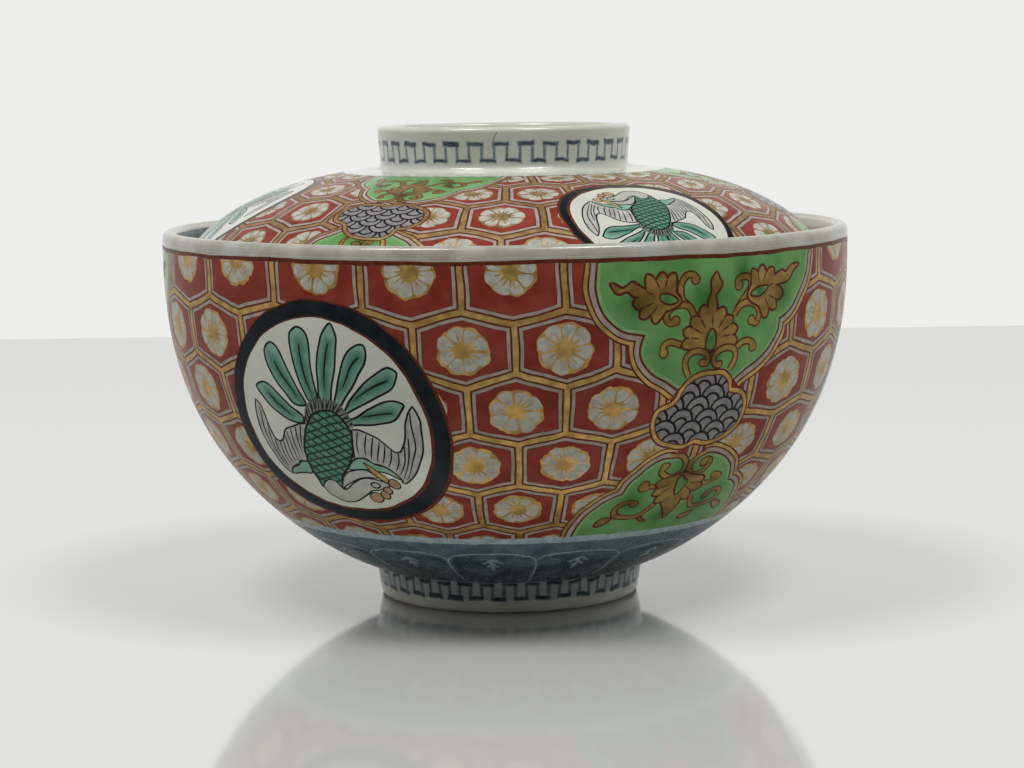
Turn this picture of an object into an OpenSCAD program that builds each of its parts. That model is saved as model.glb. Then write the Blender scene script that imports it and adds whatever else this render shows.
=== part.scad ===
// Lidded rice bowl in thrown porcelain: a deep bowl on a low foot ring, and a domed lid
// that drops just inside the lip. The ring on the lid is its handle and, with the lid
// turned over, the foot of a small dish.
// Millimetres. The z axis is the throwing axis and the foot stands on z = 0.

/* [Bowl] */
// Outside diameter just under the lip
rim_diameter = 115; // [108:1:124]
// Height of the lip above the table
rim_height = 62.7; // [58:0.1:68]
// Wall thickness at the lip
lip_thickness = 2.3; // [2:0.1:2.8]
// Wall thickness where the wall meets the foot
base_thickness = 4; // [3.6:0.1:4.6]
// Fullness of the belly: a higher value keeps the wall upright further down
belly = 2.65; // [2.35:0.05:2.95]
// Height of the middle of the inside floor above the table
floor_height = 8.9; // [8.5:0.1:9.5]

/* [Foot] */
// Outside diameter of the foot ring where it joins the bowl
foot_diameter = 45.4; // [42:0.2:50]
// Height of the foot ring on its outside
foot_height = 5.5; // [5:0.1:6.1]
// Inward lean of the foot ring's outside, from the bowl down to the table
foot_lean = 0.8; // [0.5:0.05:1.1]
// Thickness of the foot ring
foot_thickness = 3; // [2.6:0.1:3.6]
// Width of the bevel on both edges of the bare foot
foot_bevel = 0.6; // [0.4:0.05:0.8]
// Depth of the hollow inside the foot ring
well_depth = 4.6; // [4:0.1:4.8]

/* [Lid] */
// Depth of the lid's edge below the top of the lip
seat_depth = 6.2; // [5:0.1:7]
// Gap between the lid's edge and the inside of the bowl
seat_gap = 0.2; // [0.1:0.05:0.4]
// Thickness of the lid at its edge
edge_thickness = 2.2; // [1.9:0.1:2.6]
// Thickness of the lid at the crown
crown_thickness = 3.6; // [3:0.1:4.2]
// Rise of the dome from the lid's edge to its crown
dome_rise = 16.5; // [14:0.1:19]
// Flatness of the crown: a higher value gives rounder shoulders
dome_flatness = 3.2; // [2.8:0.05:3.6]

/* [Lid ring] */
// Outside diameter of the ring where it meets the dome
ring_diameter = 41.6; // [38:0.2:46]
// Outward lean of the ring, from the dome up to its edge
ring_flare = 0.5; // [0.2:0.05:0.8]
// Height of the ring's edge above the crown
ring_height = 6.4; // [5:0.1:8]
// Thickness of the ring
ring_thickness = 2.4; // [2.1:0.1:3]
// Rounding of the ring's edge
ring_round = 0.8; // [0.5:0.05:0.95]
// Rounding where the ring grows out of the dome
ring_fillet = 0.9; // [0.5:0.1:1.2]

/* [Hidden] */
$fn = 180;
steps = 40;       // Points along each long curve
floor_steps = 12; // Points along the inside floor
foot_skip = 7;    // Points of the inside wall that the floor takes over, next to the foot
wall_curve = 0.8; // How the wall's sweep flattens out towards the foot
dome_curve = 0.7; // How the dome turns down towards its edge
thinning = 0.6;   // How soon the wall thickens below the lip
edge_cut = 9;     // Degrees left open at both ends of a rounded edge, so that it meets the wall
well_rise = 0.5;  // Rise of the hollow's roof towards the middle of the foot
well_corner = 1.2;
recess_dip = 0.1; // Fall of the floor inside the ring, from the crown out to its corner

rim_r = rim_diameter / 2;
foot_r = foot_diameter / 2;
wide_z = rim_height - lip_thickness / 2;
seat_z = rim_height - seat_depth;
seat_s = (wide_z - seat_z) / (wide_z - foot_height);
lid_r = wall(seat_s).x - wall_thickness(seat_s) - seat_gap;
crown_z = seat_z + dome_rise;
ring_r = ring_diameter / 2;
ring_top = crown_z + ring_height;

// Points of an arc about c, from angle a to angle b
function arc(c, r, a, b, n = 6) =
    [for (i = [0:n]) c + r * [cos(a + (b - a) * i / n), sin(a + (b - a) * i / n)]];

// Outside of the bowl: s runs from 0 just under the lip to 1 at the foot
function wall(s) = [
    foot_r + (rim_r - foot_r) * pow(1 - pow(s, belly), wall_curve),
    wide_z - (wide_z - foot_height) * s
];

// Wall thickness at s: thin at the lip, thicker as soon as the lid's seat is reached
function wall_thickness(s) = lip_thickness + (base_thickness - lip_thickness) * pow(s, thinning);

// Direction out of the wall's inside face at s
function inward(s) =
    let (d = wall(min(1, s + 0.001)) - wall(max(0, s - 0.001)))
    [d.y, -d.x] / norm(d);

// Inside of the bowl at s
function inner_wall(s) = wall(s) + inward(s) * wall_thickness(s);

// Height of a dome with the given edge radius, edge height and rise, at radius r
function dome(r, edge_r, edge_z, rise) =
    edge_z + rise * pow(max(0, 1 - pow(r / edge_r, dome_flatness)), dome_curve);

// Half section of the bowl's wall, from the foot up over the lip and down to the floor
function bowl_outside() = [for (i = [steps:-1:0]) wall(sin(90 * i / steps))];
function bowl_lip() = arc([rim_r - lip_thickness / 2, wide_z], lip_thickness / 2,
    edge_cut, 180 - edge_cut, 18);
function bowl_inside() = [for (i = [1:steps - foot_skip]) inner_wall(sin(90 * i / steps))];
function bowl_floor() =
    let (
        line = bowl_inside(),
        end = line[len(line) - 1],
        run = line[len(line) - 2] - end,
        power = (run.y / run.x) * end.x / (end.y - floor_height)
    )
    [for (i = [1:floor_steps])
        let (t = 1 - i / floor_steps)
        [end.x * t, floor_height + (end.y - floor_height) * pow(t, power)]];

// Half section of the foot ring, from the hollow's middle out to the bowl
function foot_section() =
    let (
        bottom_r = foot_r - foot_lean,
        inner_r = bottom_r - foot_thickness,
        corner_r = inner_r - foot_lean / 2 - well_corner
    )
    concat(
        [[0, well_depth + well_rise], [inner_r / 2, well_depth + well_rise * 0.75]],
        arc([corner_r, well_depth - well_corner], well_corner, 80, 0),
        [
            [inner_r, foot_bevel],
            [inner_r + foot_bevel, 0],
            [bottom_r - foot_bevel, 0],
            [bottom_r, foot_bevel]
        ]
    );

// Half section of the lid's ring, from the hollow's middle over its edge to the dome
function ring_section() =
    let (
        top_r = ring_r + ring_flare,
        inner_r = top_r - ring_thickness,
        corner_r = inner_r - ring_flare - ring_fillet,
        base_z = dome(ring_r + ring_fillet, lid_r, seat_z, dome_rise)
    )
    concat(
        [[0, crown_z], [corner_r / 2, crown_z - recess_dip / 4]],
        arc([corner_r, crown_z - recess_dip + ring_fillet], ring_fillet, 270, 360),
        arc([inner_r + ring_round, ring_top - ring_round], ring_round, 175, 90),
        arc([top_r - ring_round, ring_top - ring_round], ring_round, 90, 5),
        arc([ring_r + ring_fillet, base_z + ring_fillet], ring_fillet, 180, 262)
    );
function lid_outside() =
    let (start = asin((ring_r + 2 * ring_fillet) / lid_r))
    [for (i = [0:steps])
        let (r = lid_r * sin(start + (90 - start) * i / steps))
        [r, dome(r, lid_r, seat_z, dome_rise)]];
function lid_edge() = arc([lid_r - edge_thickness / 2, seat_z], edge_thickness / 2,
    -edge_cut, edge_cut - 180, 18);
function lid_inside() =
    let (inner_r = lid_r - edge_thickness)
    [for (i = [steps:-1:0])
        let (r = inner_r * sin(90 * i / steps))
        [r, dome(r, inner_r, seat_z, dome_rise - crown_thickness)]];

// The bowl and its foot ring, thrown and fired as one piece
module bowl() {
    color([0.93, 0.92, 0.88])
        rotate_extrude()
            polygon(concat(
                foot_section(), bowl_outside(), bowl_lip(), bowl_inside(), bowl_floor()
            ));
}

// The lid and its ring, thrown and fired as one piece
module lid() {
    color([0.93, 0.92, 0.88])
        rotate_extrude()
            polygon(concat(ring_section(), lid_outside(), lid_edge(), lid_inside()));
}

bowl();
lid();
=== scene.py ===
"""A lidded porcelain rice bowl, painted in overglaze enamels, gilding and underglaze blue.

Every painted motif is drawn flat, as closed outlines in millimetres, and laid on the turned walls,
so that each colour is a patch of the bowl's or the lid's own surface.
"""
import math
import random

import bmesh
import bpy
import numpy as np
from mathutils import Matrix, Vector
from mathutils.geometry import delaunay_2d_cdt


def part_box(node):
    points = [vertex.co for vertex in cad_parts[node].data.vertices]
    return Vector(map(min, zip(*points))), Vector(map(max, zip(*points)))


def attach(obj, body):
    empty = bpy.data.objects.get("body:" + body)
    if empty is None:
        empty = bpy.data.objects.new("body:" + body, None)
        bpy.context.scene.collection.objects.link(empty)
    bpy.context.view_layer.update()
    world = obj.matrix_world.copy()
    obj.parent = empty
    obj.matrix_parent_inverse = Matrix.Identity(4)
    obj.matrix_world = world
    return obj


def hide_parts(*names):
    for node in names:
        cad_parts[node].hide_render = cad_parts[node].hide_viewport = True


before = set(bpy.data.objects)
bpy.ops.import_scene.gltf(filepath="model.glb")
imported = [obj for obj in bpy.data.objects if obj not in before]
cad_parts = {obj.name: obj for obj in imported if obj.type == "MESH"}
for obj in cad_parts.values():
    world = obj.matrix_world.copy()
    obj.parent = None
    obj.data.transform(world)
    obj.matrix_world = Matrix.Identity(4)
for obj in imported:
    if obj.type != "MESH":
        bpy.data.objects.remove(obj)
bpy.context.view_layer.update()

MM = 0.001
RNG = random.Random(7)

# Sizes in millimetres, from the CAD pieces and the design that they follow

_, BOWL_HIGH = (np.array(corner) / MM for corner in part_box("bowl"))
LID_LOW, LID_HIGH = (np.array(corner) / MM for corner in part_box("lid"))
RIM_R = float(BOWL_HIGH[0])
RIM_Z = float(BOWL_HIGH[2])
LIP = 2.3
BASE_WALL = 4.0
BELLY = 2.65
WALL_CURVE = 0.8
THINNING = 0.6
FLOOR_Z = 8.9
FOOT_R = 22.7
FOOT_Z = 5.5
FOOT_LEAN = 0.8
FOOT_WALL = 3.0
FOOT_BEVEL = 0.6
WELL_Z = 4.6
WELL_RISE = 0.5
WELL_CORNER = (1.0, 0.6)
EDGE = 2.2
EDGE_Z = float(LID_LOW[2]) + EDGE / 2
LID_R = float(LID_HIGH[0])
DOME_RISE = 16.5
DOME_FLAT = 3.2
DOME_CURVE = 0.7
CROWN = 3.6
RING_R = 20.8
RING_FLARE = 0.5
RING_WALL = 2.4
RING_TOP = float(LID_HIGH[2])
RING_ROUND = 0.8
RING_FILLET = 0.9
RECESS_DIP = 0.1
# Angles in degrees where the rounded edges and the fillet meet the walls
EDGE_CUT = 9
RING_LEAN = 5
DOME_MEET = 262
# Points along each curve, and faces round a piece
WALL_STEPS = 90
INSIDE_STEPS = 75
FLOOR_STEPS = 30
DOME_STEPS = 60
ROUND_STEPS = 8
TURNS = 240
PLAIN_STRIDE = 2.0
SECTORS = 3
# Where the first sector starts, between the hexagons' upright lines
SEAM = math.radians(-56.25)


# Turned outlines


def arc(centre, radius, start, end, steps=24):
    """Points along a circle, from one angle to another in degrees."""
    turn = np.radians(np.linspace(start, end, steps + 1))
    return np.column_stack([centre[0] + radius * np.cos(turn), centre[1] + radius * np.sin(turn)])


class Turned:
    """The outline of a turned piece: radius and height against the walk along it, 0 at its lip."""

    STEP = 0.05
    LONGEST = 2.6
    BEND = math.radians(9)

    def __init__(self, points, lip, soften=0.3):
        walk = np.r_[0, np.cumsum(np.hypot(*np.diff(points, axis=0).T))]
        self.walk = np.linspace(0, walk[-1], int(walk[-1] / self.STEP) + 1)
        line = np.column_stack([np.interp(self.walk, walk, points[:, k]) for k in (0, 1)])
        self.line = self.softened(line, int(soften / self.STEP))
        slope = np.gradient(self.line, axis=0)
        slope /= np.linalg.norm(slope, axis=1)[:, None]
        self.out = np.column_stack([slope[:, 1], -slope[:, 0]])
        self.out *= np.sign(self.out[np.argmax(self.line[:, 0]), 0])
        self.walk -= walk[lip]
        heading = np.unwrap(np.arctan2(slope[:, 1], slope[:, 0]))
        effort = np.abs(np.diff(heading)) / self.BEND + self.STEP / self.LONGEST
        self.effort = np.r_[0, np.cumsum(effort)]

    @staticmethod
    def softened(line, reach):
        for _ in range(2):
            padded = np.pad(line, ((reach, reach), (0, 0)), mode="reflect", reflect_type="odd")
            window = np.ones(2 * reach + 1) / (2 * reach + 1)
            line = np.column_stack([np.convolve(padded[:, k], window, "valid") for k in (0, 1)])
        return line

    def radius(self, walk):
        return np.interp(walk, self.walk, self.line[:, 0])

    def levels(self, start, end, stride=1.0):
        """Walks from start to end, close together where the outline turns."""
        low, high = np.interp([start, end], self.walk, self.effort)
        count = max(2, int(math.ceil((high - low) / stride)) + 1)
        walks = np.interp(np.linspace(low, high, count), self.effort, self.walk)
        walks[0], walks[-1] = start, end
        return walks

    def points(self, turn, walk):
        """Places in space, in mm, and outward directions, for turns in radians from the front."""
        radius = self.radius(walk)
        height = np.interp(walk, self.walk, self.line[:, 1])
        out_r = np.interp(walk, self.walk, self.out[:, 0])
        out_z = np.interp(walk, self.walk, self.out[:, 1])
        sin, cos = np.sin(turn), -np.cos(turn)
        place = np.column_stack([radius * sin, radius * cos, height])
        return place, np.column_stack([out_r * sin, out_r * cos, out_z])


def bowl_outline():
    wide_z = RIM_Z - LIP / 2
    depth = np.sin(np.radians(np.linspace(0, 90, WALL_STEPS + 1)))
    wall = np.column_stack([
        FOOT_R + (RIM_R - FOOT_R) * (1 - depth ** BELLY) ** WALL_CURVE,
        wide_z - (wide_z - FOOT_Z) * depth,
    ])
    slope = np.gradient(wall, axis=0)
    slope /= np.linalg.norm(slope, axis=1)[:, None]
    thick = LIP + (BASE_WALL - LIP) * depth ** THINNING
    inside = wall + np.column_stack([slope[:, 1], -slope[:, 0]]) * thick[:, None]
    inside = inside[1:INSIDE_STEPS]
    end, before = inside[-1], inside[-2]
    power = (before[1] - end[1]) / (before[0] - end[0]) * end[0] / (end[1] - FLOOR_Z)
    floor_r = end[0] * np.linspace(0, 1, FLOOR_STEPS)[:-1]
    floor = np.column_stack([floor_r, FLOOR_Z + (end[1] - FLOOR_Z) * (floor_r / end[0]) ** power])
    lip = arc((RIM_R - LIP / 2, wide_z), LIP / 2, 180, 0)
    bottom_r = FOOT_R - FOOT_LEAN
    inner_r = bottom_r - FOOT_WALL
    foot = [
        (bottom_r, FOOT_BEVEL),
        (bottom_r - FOOT_BEVEL, 0),
        (inner_r + FOOT_BEVEL, 0),
        (inner_r, FOOT_BEVEL),
        (inner_r - FOOT_LEAN / 2, WELL_Z - WELL_CORNER[1]),
        (inner_r - WELL_CORNER[0], WELL_Z),
        (inner_r / 2, WELL_Z + 0.7 * WELL_RISE),
        (0, WELL_Z + WELL_RISE),
    ]
    points = np.vstack([floor, inside[::-1], lip, wall[1:], foot])
    return Turned(points, lip=len(floor) + len(inside) + len(lip) // 2)


def dome(radius, edge_r, rise):
    return EDGE_Z + rise * np.maximum(0, 1 - (radius / edge_r) ** DOME_FLAT) ** DOME_CURVE


def lid_outline():
    crown_z = EDGE_Z + DOME_RISE
    swing = np.radians(np.linspace(0, 90, DOME_STEPS + 1))
    under_r = (LID_R - EDGE) * np.sin(swing)
    under = np.column_stack([under_r, dome(under_r, LID_R - EDGE, DOME_RISE - CROWN)])
    edge = arc((LID_R - EDGE / 2, EDGE_Z), EDGE / 2, EDGE_CUT - 180, 0)
    first = math.asin((RING_R + RING_FILLET) / LID_R)
    upper_r = LID_R * np.sin(np.linspace(math.pi / 2, first, DOME_STEPS + 1))[1:]
    upper = np.column_stack([upper_r, dome(upper_r, LID_R, DOME_RISE)])
    top_r = RING_R + RING_FLARE
    inner_r = top_r - RING_WALL
    top_z = RING_TOP - RING_ROUND
    foot = (RING_R + RING_FILLET, upper[-1, 1] + RING_FILLET)
    corner = (inner_r - RING_FLARE - RING_FILLET, crown_z - RECESS_DIP + RING_FILLET)
    ring = np.vstack([
        arc(foot, RING_FILLET, DOME_MEET, 180, ROUND_STEPS),
        arc((top_r - RING_ROUND, top_z), RING_ROUND, RING_LEAN, 90, ROUND_STEPS),
        arc((inner_r + RING_ROUND, top_z), RING_ROUND, 90, 180 - RING_LEAN, ROUND_STEPS),
        arc(corner, RING_FILLET, 360, 270, ROUND_STEPS),
        [(0, crown_z)],
    ])
    points = np.vstack([under, edge, upper, ring])
    return Turned(points, lip=len(under) + len(edge) - 1, soften=0.2)


# Flat drawing

# Where along half a wave a tapered stroke starts and ends, and how blunt its ends are
TAPER_ENDS = (0.18, 0.94)
TAPER_POWER = 0.6
TINY = 1e-9


def smooth(points, closed=True, steps=4):
    """A soft curve through a few points."""
    points = np.asarray(points, float)
    if closed:
        before, after, last = np.roll(points, 1, 0), np.roll(points, -1, 0), np.roll(points, -2, 0)
    else:
        padded = np.vstack([2 * points[0] - points[1], points, 2 * points[-1] - points[-2]])
        before, points, after, last = padded[:-3], padded[1:-2], padded[2:-1], padded[3:]
    curve = []
    for t in np.arange(steps) / steps:
        curve.append(0.5 * (
            2 * points + (after - before) * t
            + (2 * before - 5 * points + 4 * after - last) * t ** 2
            + (3 * points - before - 3 * after + last) * t ** 3
        ))
    curve = np.stack(curve, 1).reshape(-1, 2)
    return curve if closed else np.vstack([curve, after[-1]])


def scalloped(*pieces):
    """A closed outline of soft curves that meet in cusps."""
    return np.vstack([smooth(piece, closed=False)[:-1] for piece in pieces])


def circle(x, y, radius, steps, squash=1.0):
    ring = arc((0, 0), radius, 0, 360, steps)[:-1]
    return ring * (1, squash) + (x, y)


def sideways(points, closed):
    """Unit vectors to the left of a line at each of its points."""
    if closed:
        along = np.roll(points, -1, 0) - np.roll(points, 1, 0)
    else:
        along = np.gradient(points, axis=0)
    along /= np.maximum(np.linalg.norm(along, axis=1)[:, None], TINY)
    return np.column_stack([-along[:, 1], along[:, 0]])


def grown(points, distance):
    """A closed outline moved outwards, or inwards when the distance is negative."""
    x, y = points.T
    turn = np.sign(np.sum(x * np.roll(y, -1) - np.roll(x, -1) * y))
    return points - sideways(points, True) * distance * turn


def ribbon(points, width, taper=False):
    """The outline of a brush stroke along a line."""
    points = np.asarray(points, float)
    half = np.full(len(points), width / 2)
    if taper:
        half *= np.sin(np.linspace(*TAPER_ENDS, len(points)) * math.pi) ** TAPER_POWER
    side = sideways(points, False) * half[:, None]
    return np.vstack([points + side, (points - side)[::-1]])


def densified(points, longest=2.0):
    """A closed outline with no edge longer than given."""
    ahead = np.roll(points, -1, 0)
    parts = []
    for a, b in zip(points, ahead):
        count = max(1, int(math.ceil(np.hypot(*(b - a)) / longest)))
        parts.append(a + (b - a) * (np.arange(count) / count)[:, None])
    return np.vstack(parts)


def cut_level(points, level, keep):
    """A closed outline cut at a height: keep is 1 for the side above it, and -1 for below."""
    out = []
    for a, b in zip(points, np.roll(points, -1, 0)):
        inside_a, inside_b = (a[1] - level) * keep >= 0, (b[1] - level) * keep >= 0
        if inside_a:
            out.append(a)
        if inside_a != inside_b:
            out.append(a + (b - a) * (level - a[1]) / (b[1] - a[1]))
    return np.array(out).reshape(-1, 2)


def holds(points, loop):
    """Which points lie inside a closed outline."""
    ax, ay = loop.T
    bx, by = np.roll(loop, -1, 0).T
    px, py = points[:, :1], points[:, 1:]
    side = (bx - ax) * (py - ay) - (px - ax) * (by - ay)
    up = ((ay <= py) & (by > py) & (side > 0)).sum(1)
    down = ((ay > py) & (by <= py) & (side < 0)).sum(1)
    return up != down


def borders(faces, paints):
    """The edges between triangles of different paints."""
    edges = np.sort(np.vstack([faces[:, [0, 1]], faces[:, [1, 2]], faces[:, [2, 0]]]), axis=1)
    order = np.lexsort(edges.T)
    edges, paints = edges[order], np.tile(paints, 3)[order]
    shared = (edges[1:] == edges[:-1]).all(1)
    return edges[:-1][shared & (paints[1:] != paints[:-1])]


class Net:
    """Corners and edges for a flat triangulation that keeps every edge."""

    NEAR, SLIVER = 0.003, 0.0005

    def __init__(self):
        self.corners, self.edges = [], []

    def add(self, points, edges):
        first = len(self.corners)
        self.corners.extend(Vector(p) for p in points)
        self.edges.extend((first + int(a), first + int(b)) for a, b in edges)

    def line(self, points, closed=False):
        count = len(points)
        self.add(points, [(k, (k + 1) % count) for k in range(count if closed else count - 1)])

    def triangles(self, low, high):
        """Places and triangles inside a box, without slivers along its sides."""
        places, _, faces, *_ = delaunay_2d_cdt(self.corners, self.edges, [], 0, self.NEAR, False)
        places = np.array([tuple(p) for p in places])
        faces = np.array([f for f in faces if len(f) == 3])
        middle = places[faces].mean(1)
        inside = (middle > np.array(low) + self.SLIVER) & (middle < np.array(high) - self.SLIVER)
        return places, faces[inside.all(1)]


class Sheet:
    """A flat drawing for the painted wall of a turned piece, between two walks."""

    MARGIN = 0.06
    CLOSE = 1.2
    BAND_STEPS = 60
    # How many waves of a band's edge go round, which way its level shifts them, and their size
    WAVES = ((7, 1, 1.0), (16, -1, 0.6))

    def __init__(self, turned, start, end, reference, gilt="gold"):
        self.turned = turned
        self.start, self.end = start, end
        self.reference, self.gilt = reference, gilt
        self.around = 2 * math.pi * reference
        self.shapes, self.pools = [], []

    def fill(self, paint, points, clip=None):
        loop = cut_level(np.asarray(points, float), self.start + self.MARGIN, 1)
        if len(loop) > 2:
            loop = cut_level(loop, self.end - self.MARGIN, -1)
        if len(loop) > 2:
            self.shapes.append((self.gilt if paint == "gold" else paint, densified(loop), clip))

    def band(self, paint, top, bottom, waver=0.0):
        """A band right round the piece, whose edges may waver."""
        half, steps = self.around / 2, self.BAND_STEPS
        for k in range(SECTORS):
            across = np.linspace(-half, half, SECTORS * steps + 1)[steps * k:steps * (k + 1) + 1]
            turn = across / self.reference
            edges = []
            for level in (top, bottom):
                wave = sum(size * np.sin(count * turn + way * level) for count, way, size in self.WAVES)
                edges.append(np.column_stack([across, level + waver * wave]))
            self.fill(paint, np.vstack([edges[0], edges[1][::-1]]))

    def pool(self, points, reach):
        """A line along which the paint lies deeper, fading with distance."""
        self.pools.append((points, reach))

    def wash(self, flat):
        """How deep the paint lies at each place, from 0 to 1."""
        depth = np.zeros(len(flat))
        for points, reach in self.pools:
            for shift in (-self.around, 0, self.around):
                moved = points + (shift, 0)
                near_it = (flat > moved.min(0) - 2 * reach) & (flat < moved.max(0) + 2 * reach)
                some = np.flatnonzero(near_it.all(1))
                if len(some):
                    away = np.linalg.norm(flat[some, None] - moved[None], axis=2).min(1)
                    depth[some] = np.maximum(depth[some], np.exp(-(away / reach) ** 2))
        return depth

    def shapes_between(self, low, high):
        """The shapes that reach into part of the sheet, also those from across the seam."""
        for paint, loop, clip in self.shapes:
            for shift in (-self.around, 0, self.around):
                move = np.array([shift, 0])
                if loop[:, 0].max() + shift > low and loop[:, 0].min() + shift < high:
                    yield paint, loop + move, None if clip is None else clip + move

    def grid(self, low, high):
        """The corners and edges that every triangulation between two places across has."""
        net = Net()
        columns = np.linspace(low, high, TURNS // SECTORS + 1)
        levels = self.turned.levels(self.start, self.end)
        for level in (self.start, self.end):
            net.line([(x, level) for x in columns])
        for x in (low, high):
            net.line([(x, s) for s in levels])
        for above, s, below in zip(levels, levels[1:], levels[2:]):
            if min(s - above, below - s) < self.CLOSE:
                net.line([(x, s) for x in columns])
            else:
                net.add([(x, s) for x in columns[2:-2:2]], ())
        return net

    def sector_ends(self, index):
        low = SEAM * self.reference + index * self.around / SECTORS
        return low, low + self.around / SECTORS

    def sector(self, index):
        """Corners, triangles and paints of one sector, without the outlines that other shapes hide."""
        low, high = self.sector_ends(index)
        shapes = list(self.shapes_between(low, high))
        net = self.grid(low, high)
        for _, loop, _ in shapes:
            net.line(loop, closed=True)
        places, faces = net.triangles((low, self.start), (high, self.end))
        seen = borders(faces, self.painted(places[faces].mean(1), shapes))
        used, edges = np.unique(seen, return_inverse=True)
        net = self.grid(low, high)
        net.add(places[used], edges.reshape(-1, 2))
        places, faces = net.triangles((low, self.start), (high, self.end))
        return places, faces, self.painted(places[faces].mean(1), shapes)

    @staticmethod
    def painted(middle, shapes):
        """The topmost paint at each triangle's middle."""
        order = np.argsort(middle[:, 0])
        across = middle[order, 0]
        paints = np.zeros(len(middle), int)
        for paint, loop, clip in shapes:
            low, high = np.searchsorted(across, [loop[:, 0].min(), loop[:, 0].max()])
            some = order[low:high]
            height = middle[some, 1]
            some = some[(height > loop[:, 1].min()) & (height < loop[:, 1].max())]
            some = some[holds(middle[some], loop)]
            if clip is not None and len(some):
                some = some[holds(middle[some], clip)]
            paints[some] = PAINT_INDEX[paint]
        return paints


class Spot:
    """A place on a sheet where a motif is drawn in mm: x to the right and y towards the rim."""

    def __init__(self, sheet, angle, walk, scale=(1.0, 1.0), flip=1, radius=None):
        self.sheet, self.angle, self.walk = sheet, math.radians(angle), walk
        self.scale, self.flip, self.fixed = scale, flip, radius

    def place(self, points):
        points = np.asarray(points, float)
        walk = self.walk - points[:, 1] * self.scale[1]
        radius = self.fixed or self.sheet.turned.radius(walk)
        turn = self.angle + self.flip * points[:, 0] * self.scale[0] / radius
        return np.column_stack([turn * self.sheet.reference, walk])

    def fill(self, paint, points, clip=None):
        clip = None if clip is None else self.place(clip)
        self.sheet.fill(paint, self.place(points), clip)

    def stroke(self, paint, points, width, clip=None, taper=False):
        self.fill(paint, ribbon(points, width, taper), clip)

    def outlined(self, paint, points, line="ink", width=0.3):
        self.fill(line, grown(points, width / 2))
        self.fill(paint, grown(points, -width / 2))

    def pool(self, points, reach):
        self.sheet.pool(self.place(points), reach * self.scale[0])


# Kikko hexagons with flowers

CELLS = 24
FLOWER_R = 4.1
CELL_LINES = (("brown", 0.40), ("pale", 0.70), ("brown", 1.18), ("red", 1.29))
PETAL = (
    (0.3, 4), (0.48, 18), (0.72, 20.5), (0.89, 16.5), (0.94, 0), (0.89, -16.5), (0.72, -20.5),
    (0.48, -18), (0.3, -4),
)
# How far the petals reach over their gilt ground, above a walk and below it
FINE_GILT = 1.02
BOLD_GILT = 0.97
GILT_WALK = 38.0
# A flower's height against its width, its least share of that, and the cell that holds all of it
FLOWER_FLAT = 0.96
FLOWER_LOW = 0.8
FULL_CELL = 12
# How much flowers differ from each other: angles in degrees, shifts in mm, and sizes
FLOWER_TILT = 12
FLOWER_SHIFT = (0.3, 0.25)
FLOWER_SIZE = (0.95, 1.05)
PETALS = 8
PETAL_SWING = 2.5
PETAL_SIZE = (0.91, 1.05)
PETAL_WIDTH = (0.92, 1.06)
GROUND_STEP = 9
GROUND_R = 0.95
GROUND_VARY = (0.97, 1.04)
GROUND_WAVE, GROUND_POWER = 0.06, 0.7
MIDDLE_STEP = 30
MIDDLE_SIZE = (0.32, 0.4)
VEIN_CHANCE = 0.8
VEIN_SLANT = 5
VEIN_START = 0.3
VEIN_END = (0.56, 0.72)
VEIN_LINE = 0.3


class Cell(Spot):
    """A hexagon's place, which drifts from the even division as a painter's eye does.

    Each drift is a turn, its reach in radians, and how far it carries the cells: round, in radians,
    and down, in mm.
    """

    SPREAD = 0.033
    STEEPNESS = 4

    def __init__(self, sheet, angle, walk, radius, lean, drifts):
        super().__init__(sheet, angle, walk, radius=radius)
        self.lean, self.drifts = np.radians(lean), drifts

    def place(self, points):
        flat = super().place(points)
        turn = flat[:, 0] / self.sheet.reference
        around = self.SPREAD * np.sin(turn) + self.lean[0] + self.lean[1] * flat[:, 1]
        down = np.zeros(len(flat))
        for centre, reach, slip, fall in self.drifts:
            away = (turn - centre + math.pi) % (2 * math.pi) - math.pi
            share = np.exp(-(away / reach) ** self.STEEPNESS)
            around = around + slip * share
            down = down + fall * share
        return flat + np.column_stack([around * self.sheet.reference, down])


def hexagon(half_w, top, low, inset):
    """A cell's outline inside its border: top and low each hold an apex and its shoulders' height."""
    x = half_w - inset
    ends = []
    for (apex, shoulder), side in ((top, 1), (low, -1)):
        slope = (apex - shoulder) / half_w
        tip = apex - side * inset * math.hypot(1, slope)
        ends.append((tip, tip - slope * x))
    (top_y, top_side), (low_y, low_side) = ends
    left, right = [(-x, top_side), (-x, low_side)], [(x, low_side), (x, top_side)]
    return np.array([(0, top_y), *left, (0, low_y), *right])


def polar(turn, reach):
    return np.column_stack([reach * np.cos(turn), reach * np.sin(turn)])


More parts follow.
